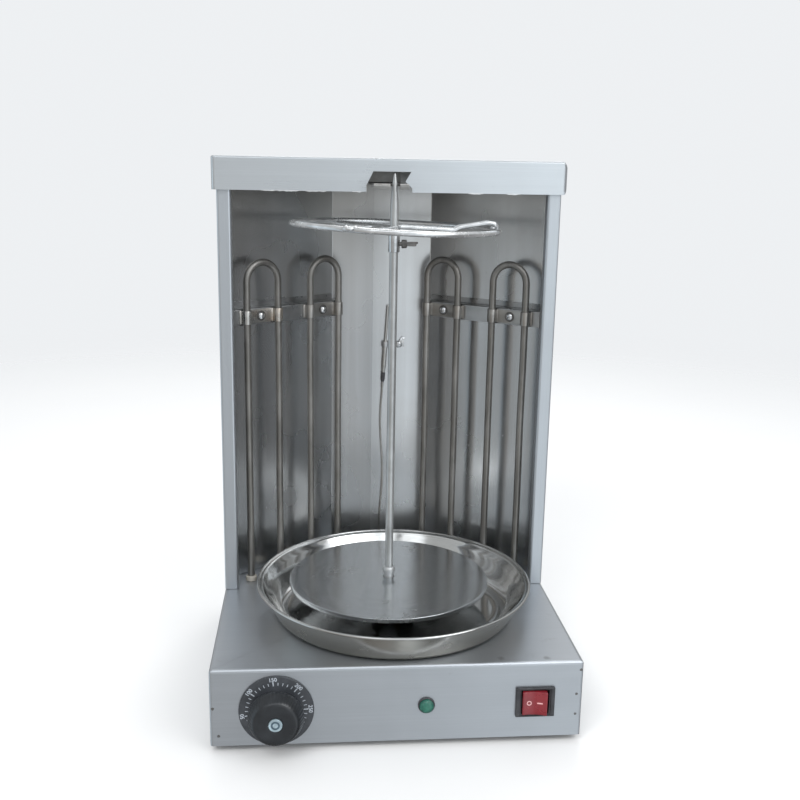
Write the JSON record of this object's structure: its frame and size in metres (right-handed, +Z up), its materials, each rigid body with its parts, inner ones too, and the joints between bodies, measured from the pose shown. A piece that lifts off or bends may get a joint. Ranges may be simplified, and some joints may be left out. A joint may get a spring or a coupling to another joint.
{
  "type": "rotisserie oven",
  "caption": "Countertop vertical spit oven: motor-driven spindle with plate and sliding crown before hairpin heaters in a steel casing, drip pan, dial knob and rocker switch.",
  "frame": {"origin": "centre of the bounding box on the ground plane, under the feet", "axes": "+Z up, -Y is the front with the knob and switch, +X to the right seen from the front"},
  "size_m": [0.3072, 0.315, 0.465],
  "materials": {
    "brushed_steel": "brushed stainless sheet",
    "polished_steel": "polished stainless",
    "heater_sheath": "heat-browned tube sheath",
    "clamp_steel": "heat-tinted steel strip",
    "bright_steel": "bright stainless wire, rod and screws",
    "zinc_steel": "plain zinc-coated steel",
    "ceramic": "unglazed white bead",
    "black_plastic": "black moulded plastic",
    "dial_black": "black printed plate",
    "cap_silver": "silver disc",
    "red_plastic": "red moulded plastic",
    "green_lens": "green translucent plastic",
    "rubber": "black rubber",
    "bronze": "sintered bronze",
    "copper_steel": "dull sensor tube"
  },
  "bodies": {
    "base": {"base_housing": "brushed_steel", "rear_casing": "brushed_steel", "top_cap": "brushed_steel", "base_bottom": "zinc_steel", "support_bar_left": "zinc_steel", "support_bar_right": "zinc_steel", "motor_bracket": "zinc_steel", "gear_motor": "zinc_steel", "thermostat": "zinc_steel", "liner_left": "polished_steel", "liner_right": "polished_steel", "spindle_fork": "bright_steel", "bulb_clip_screw": "bright_steel", "clamp_screw_left_outer": "bright_steel", "clamp_screw_left_inner": "bright_steel", "clamp_screw_right_inner": "bright_steel", "clamp_screw_right_outer": "bright_steel", "heater_left_outer": "heater_sheath", "heater_left_inner": "heater_sheath", "heater_right_inner": "heater_sheath", "heater_right_outer": "heater_sheath", "clamp_left_outer": "clamp_steel", "clamp_left_inner": "clamp_steel", "clamp_right_inner": "clamp_steel", "clamp_right_outer": "clamp_steel", "bulb_clip": "clamp_steel", "insulator_left_outer_a": "ceramic", "insulator_left_outer_b": "ceramic", "insulator_left_inner_a": "ceramic", "insulator_left_inner_b": "ceramic", "insulator_right_inner_a": "ceramic", "insulator_right_inner_b": "ceramic", "insulator_right_outer_a": "ceramic", "insulator_right_outer_b": "ceramic", "sensor_bulb": "copper_steel", "capillary": "copper_steel", "drive_bush": "bronze", "foot_front_left": "rubber", "foot_front_right": "rubber", "foot_rear_left": "rubber", "foot_rear_right": "rubber", "cable_gland": "black_plastic", "switch_body": "black_plastic", "lamp_body": "black_plastic", "dial_plate": "dial_black", "lamp_lens": "green_lens"},
    "drive": {"drive_shaft": "bright_steel"},
    "spit": {"spindle": "bright_steel", "spindle_hub": "bright_steel", "meat_plate": "polished_steel"},
    "crown": {"crown_ring": "bright_steel", "crown_collar": "bright_steel"},
    "wing_screw": {"crown_screw": "zinc_steel"},
    "pan": {"drip_pan": "polished_steel"},
    "knob": {"knob": "black_plastic", "knob_cap": "cap_silver", "thermostat_shaft": "bright_steel"},
    "rocker": {"rocker": "red_plastic"}
  },
  "joints": [
    {"name": "spit_spin", "type": "hinge", "parent": "base", "child": "drive", "pos_m": [0, -0.013, 0.07], "axis": [0, 0, 1], "continuous": true},
    {"name": "spit_lift", "type": "slide", "parent": "drive", "child": "spit", "axis": [0, 0, 1], "range_m": [0, 0.022]},
    {"name": "crown_slide", "type": "slide", "parent": "spit", "child": "crown", "axis": [0, 0, 1], "range_m": [-0.26, 0]},
    {"name": "wing_screw_turn", "type": "hinge", "parent": "crown", "child": "wing_screw", "pos_m": [0, -0.013, 0.3951], "axis": [1, 0, 0], "range_deg": [0, 360]},
    {"name": "pan_lift", "type": "slide", "parent": "base", "child": "pan", "axis": [0, 0, 1], "range_m": [0, 0.014]},
    {"name": "knob_turn", "type": "hinge", "parent": "base", "child": "knob", "pos_m": [-0.0975, -0.134, 0.0363], "axis": [0, 1, 0], "range_deg": [0, 270]},
    {"name": "rocker_tilt", "type": "hinge", "parent": "base", "child": "rocker", "pos_m": [0.1109, -0.131, 0.0374], "axis": [0, 0, 1], "range_deg": [0, 14]}
  ]
}
